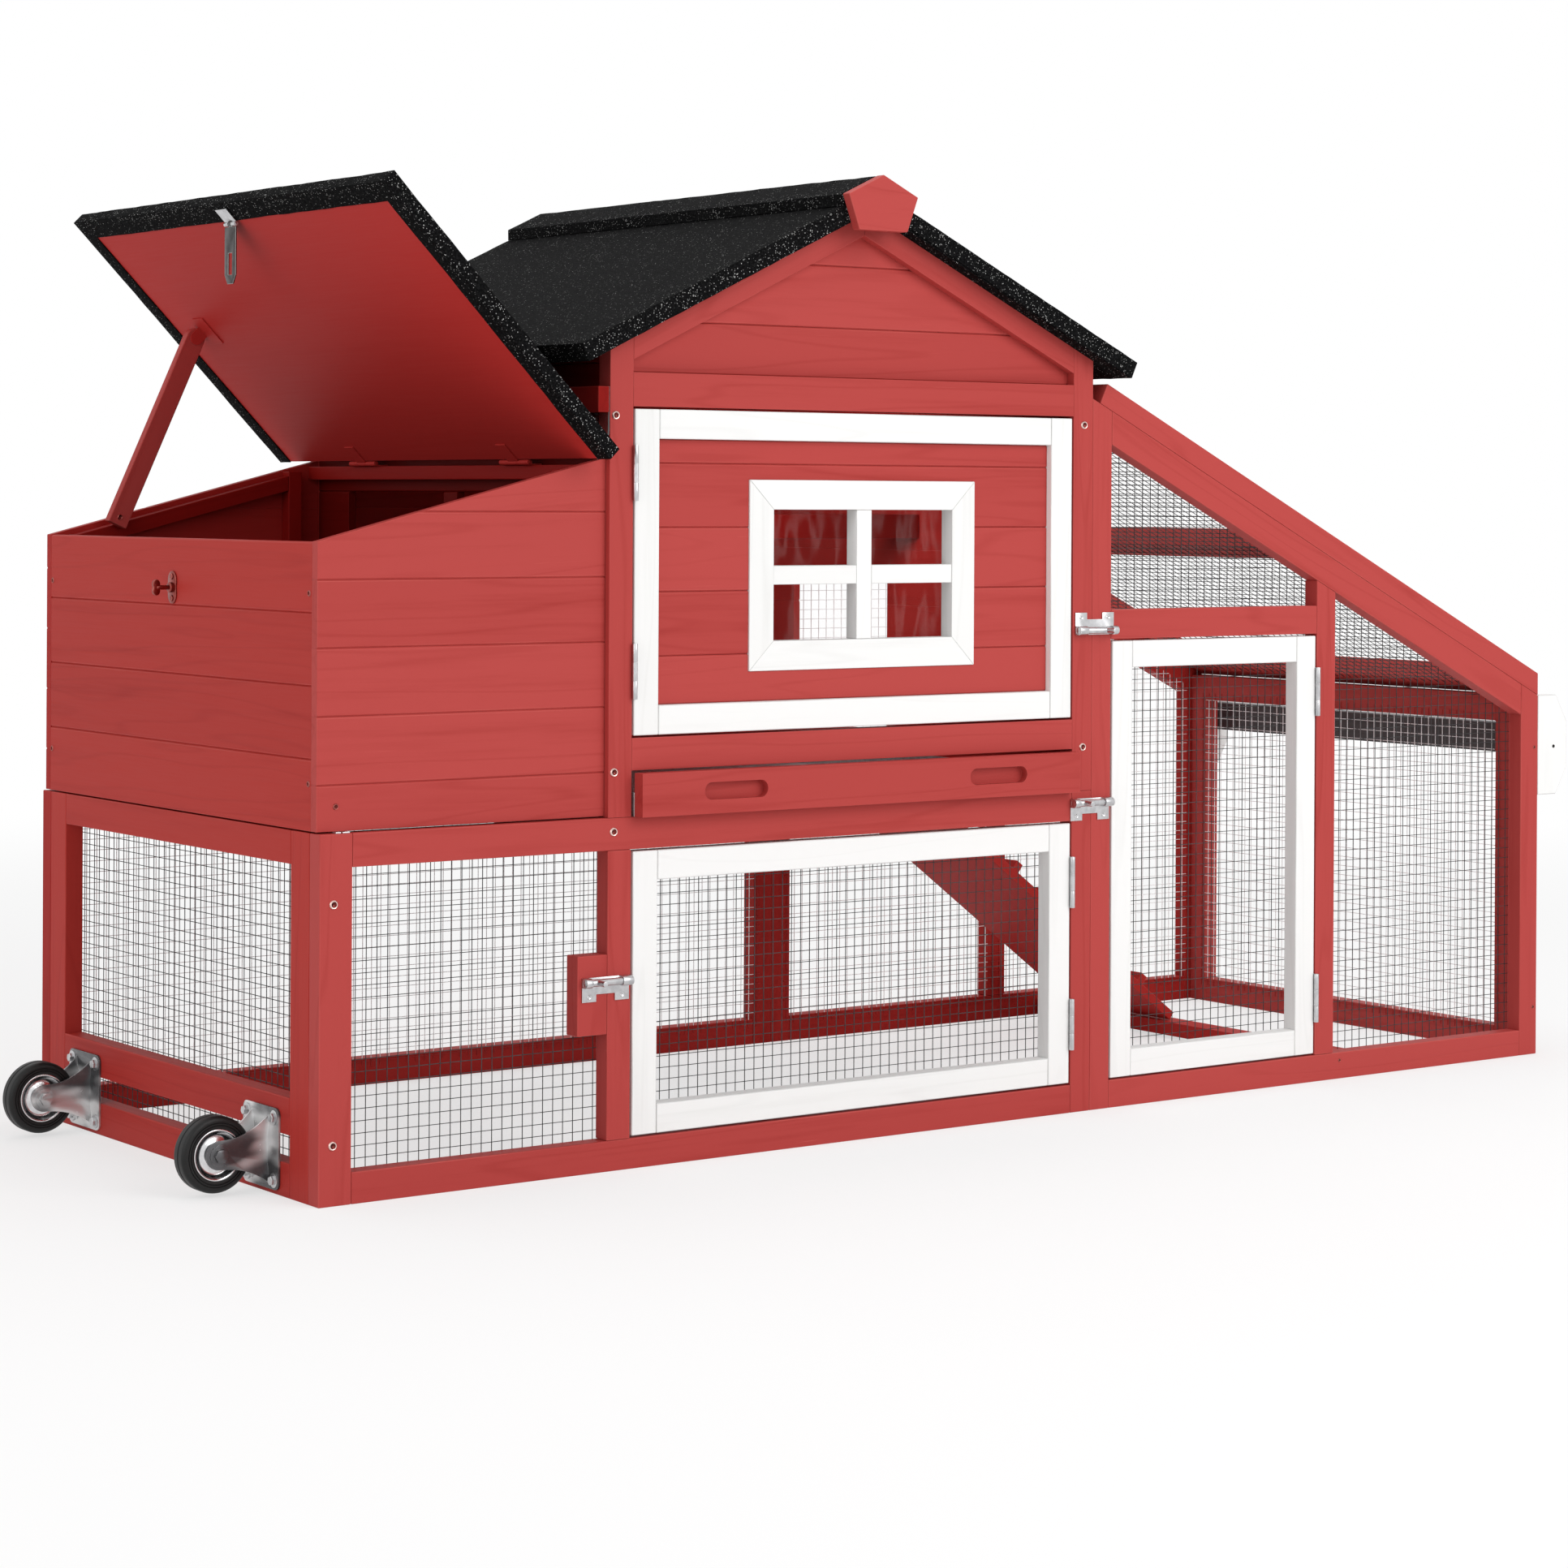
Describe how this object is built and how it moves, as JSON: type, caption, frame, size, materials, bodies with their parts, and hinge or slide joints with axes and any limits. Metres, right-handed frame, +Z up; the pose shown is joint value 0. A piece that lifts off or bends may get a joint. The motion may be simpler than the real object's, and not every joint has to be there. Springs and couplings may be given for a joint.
{
  "type": "chicken tractor",
  "caption": "Wheeled wooden hen house with a gabled boarded room, lidded nest box, pull-out tray and a wire-netted run below and beside it, carried by a bar handle.",
  "frame": {"origin": "middle of the whole part's footprint, on the ground under the foot rails", "axes": "+X from the wheels to the carrying handle, +Y from the door side to the back, +Z up"},
  "size_m": [1.963, 0.737, 1.0881],
  "materials": {
    "red_paint": "satin paint over grain",
    "white_paint": "satin paint",
    "felt": "mineral roofing felt",
    "zinc": "bright zinc plate",
    "galvanised": "galvanised",
    "wire": "dull galvanised wire",
    "rubber": "matte",
    "clear_sheet": "clear film"
  },
  "bodies": {
    "frame": {"base_front_frame": "red_paint", "base_back_frame": "red_paint", "base_end_frame": "red_paint", "front_left_net": "wire", "base_back_net": "wire", "base_end_net": "wire", "run_front_frame": "red_paint", "run_back_frame": "red_paint", "run_end_frame": "red_paint", "run_roof_frame": "red_paint", "run_gable_net": "wire", "run_front_net": "wire", "run_back_net": "wire", "run_end_net": "wire", "run_roof_net": "wire", "house_front": "red_paint", "house_back_wall": "red_paint", "house_left_wall": "red_paint", "house_right_wall": "red_paint", "roof_boards": "red_paint", "roof_felt": "felt", "ridge_cap": "felt", "ridge_block": "red_paint", "nest_front_wall": "red_paint", "nest_back_wall": "red_paint", "nest_end_wall": "red_paint", "nest_floor": "red_paint", "nest_battens": "red_paint", "rain_flap": "clear_sheet", "perch": "red_paint", "ramp": "red_paint", "tray_runners": "red_paint", "carry_handle": "white_paint", "bolt_plates": "zinc", "hinge_leaves": "zinc", "casters": "zinc"},
    "lid": {"nest_lid": "red_paint", "lid_felt": "felt", "lid_fittings": "zinc", "hasp_pin": "zinc"},
    "prop": {"lid_prop": "red_paint"},
    "hasp": {"hasp_strap": "zinc"},
    "staple": {"staple_knob": "red_paint"},
    "house_door": {"house_door_frame": "white_paint", "house_door_boards": "red_paint", "window_frame": "white_paint", "window_pane": "clear_sheet"},
    "lower_door": {"lower_door_frame": "white_paint", "lower_door_net": "wire"},
    "run_door": {"run_door_frame": "white_paint", "run_door_net": "wire"},
    "tray": {"tray_front": "red_paint", "tray_pan": "galvanised"},
    "house_door_bolt": {"house_bolt": "zinc"},
    "run_door_bolt": {"run_bolt": "zinc"},
    "lower_door_bolt": {"lower_bolt": "zinc"},
    "front_wheel": {"front_tyre": "rubber", "front_hub": "zinc"},
    "rear_wheel": {"rear_tyre": "rubber", "rear_hub": "zinc"}
  },
  "joints": [
    {"name": "lid_hinge", "type": "hinge", "parent": "frame", "child": "lid", "pos_m": [-0.5515, 0, 0.76293], "axis": [0, -1, 0], "range_deg": [-18, 59.7]},
    {"name": "prop_swing", "type": "hinge", "parent": "lid", "child": "prop", "pos_m": [-0.71424, 0.288, 0.91001], "axis": [0, -1, 0], "range_deg": [-8, 20]},
    {"name": "hasp_hang", "type": "hinge", "parent": "lid", "child": "hasp", "pos_m": [-0.81556, 0, 1.02358], "axis": [0, -1, 0], "range_deg": [-60, 19]},
    {"name": "staple_turn", "type": "hinge", "parent": "frame", "child": "staple", "pos_m": [-0.8935, 0, 0.624], "axis": [-1, 0, 0], "range_deg": [0, 90]},
    {"name": "house_door_hinge", "type": "hinge", "parent": "frame", "child": "house_door", "pos_m": [-0.50225, -0.3365, 0.644], "axis": [0, 0, -1], "range_deg": [0, 110]},
    {"name": "lower_door_hinge", "type": "hinge", "parent": "frame", "child": "lower_door", "pos_m": [0.12025, -0.3365, 0.189], "axis": [0, 0, 1], "range_deg": [0, 110]},
    {"name": "run_door_hinge", "type": "hinge", "parent": "frame", "child": "run_door", "pos_m": [0.52125, -0.3365, 0.296], "axis": [0, 0, 1], "range_deg": [0, 110]},
    {"name": "tray_slide", "type": "slide", "parent": "frame", "child": "tray", "axis": [0, -1, 0], "range_m": [0, 0.45]},
    {"name": "house_bolt_slide", "type": "slide", "parent": "frame", "child": "house_door_bolt", "axis": [-1, 0, 0], "range_m": [0, 0.026]},
    {"name": "run_bolt_slide", "type": "slide", "parent": "frame", "child": "run_door_bolt", "axis": [1, 0, 0], "range_m": [0, 0.026]},
    {"name": "lower_bolt_slide", "type": "slide", "parent": "frame", "child": "lower_door_bolt", "axis": [1, 0, 0], "range_m": [0, 0.026]},
    {"name": "front_wheel_spin", "type": "hinge", "parent": "frame", "child": "front_wheel", "pos_m": [-0.9415, -0.21312, 0.044], "axis": [0, 1, 0], "continuous": true},
    {"name": "rear_wheel_spin", "type": "hinge", "parent": "frame", "child": "rear_wheel", "pos_m": [-0.9415, 0.21312, 0.044], "axis": [0, 1, 0], "continuous": true}
  ],
  "couplings": [
    {"joint": "hasp_hang", "follows": "lid_hinge", "ratio": -1}
  ]
}
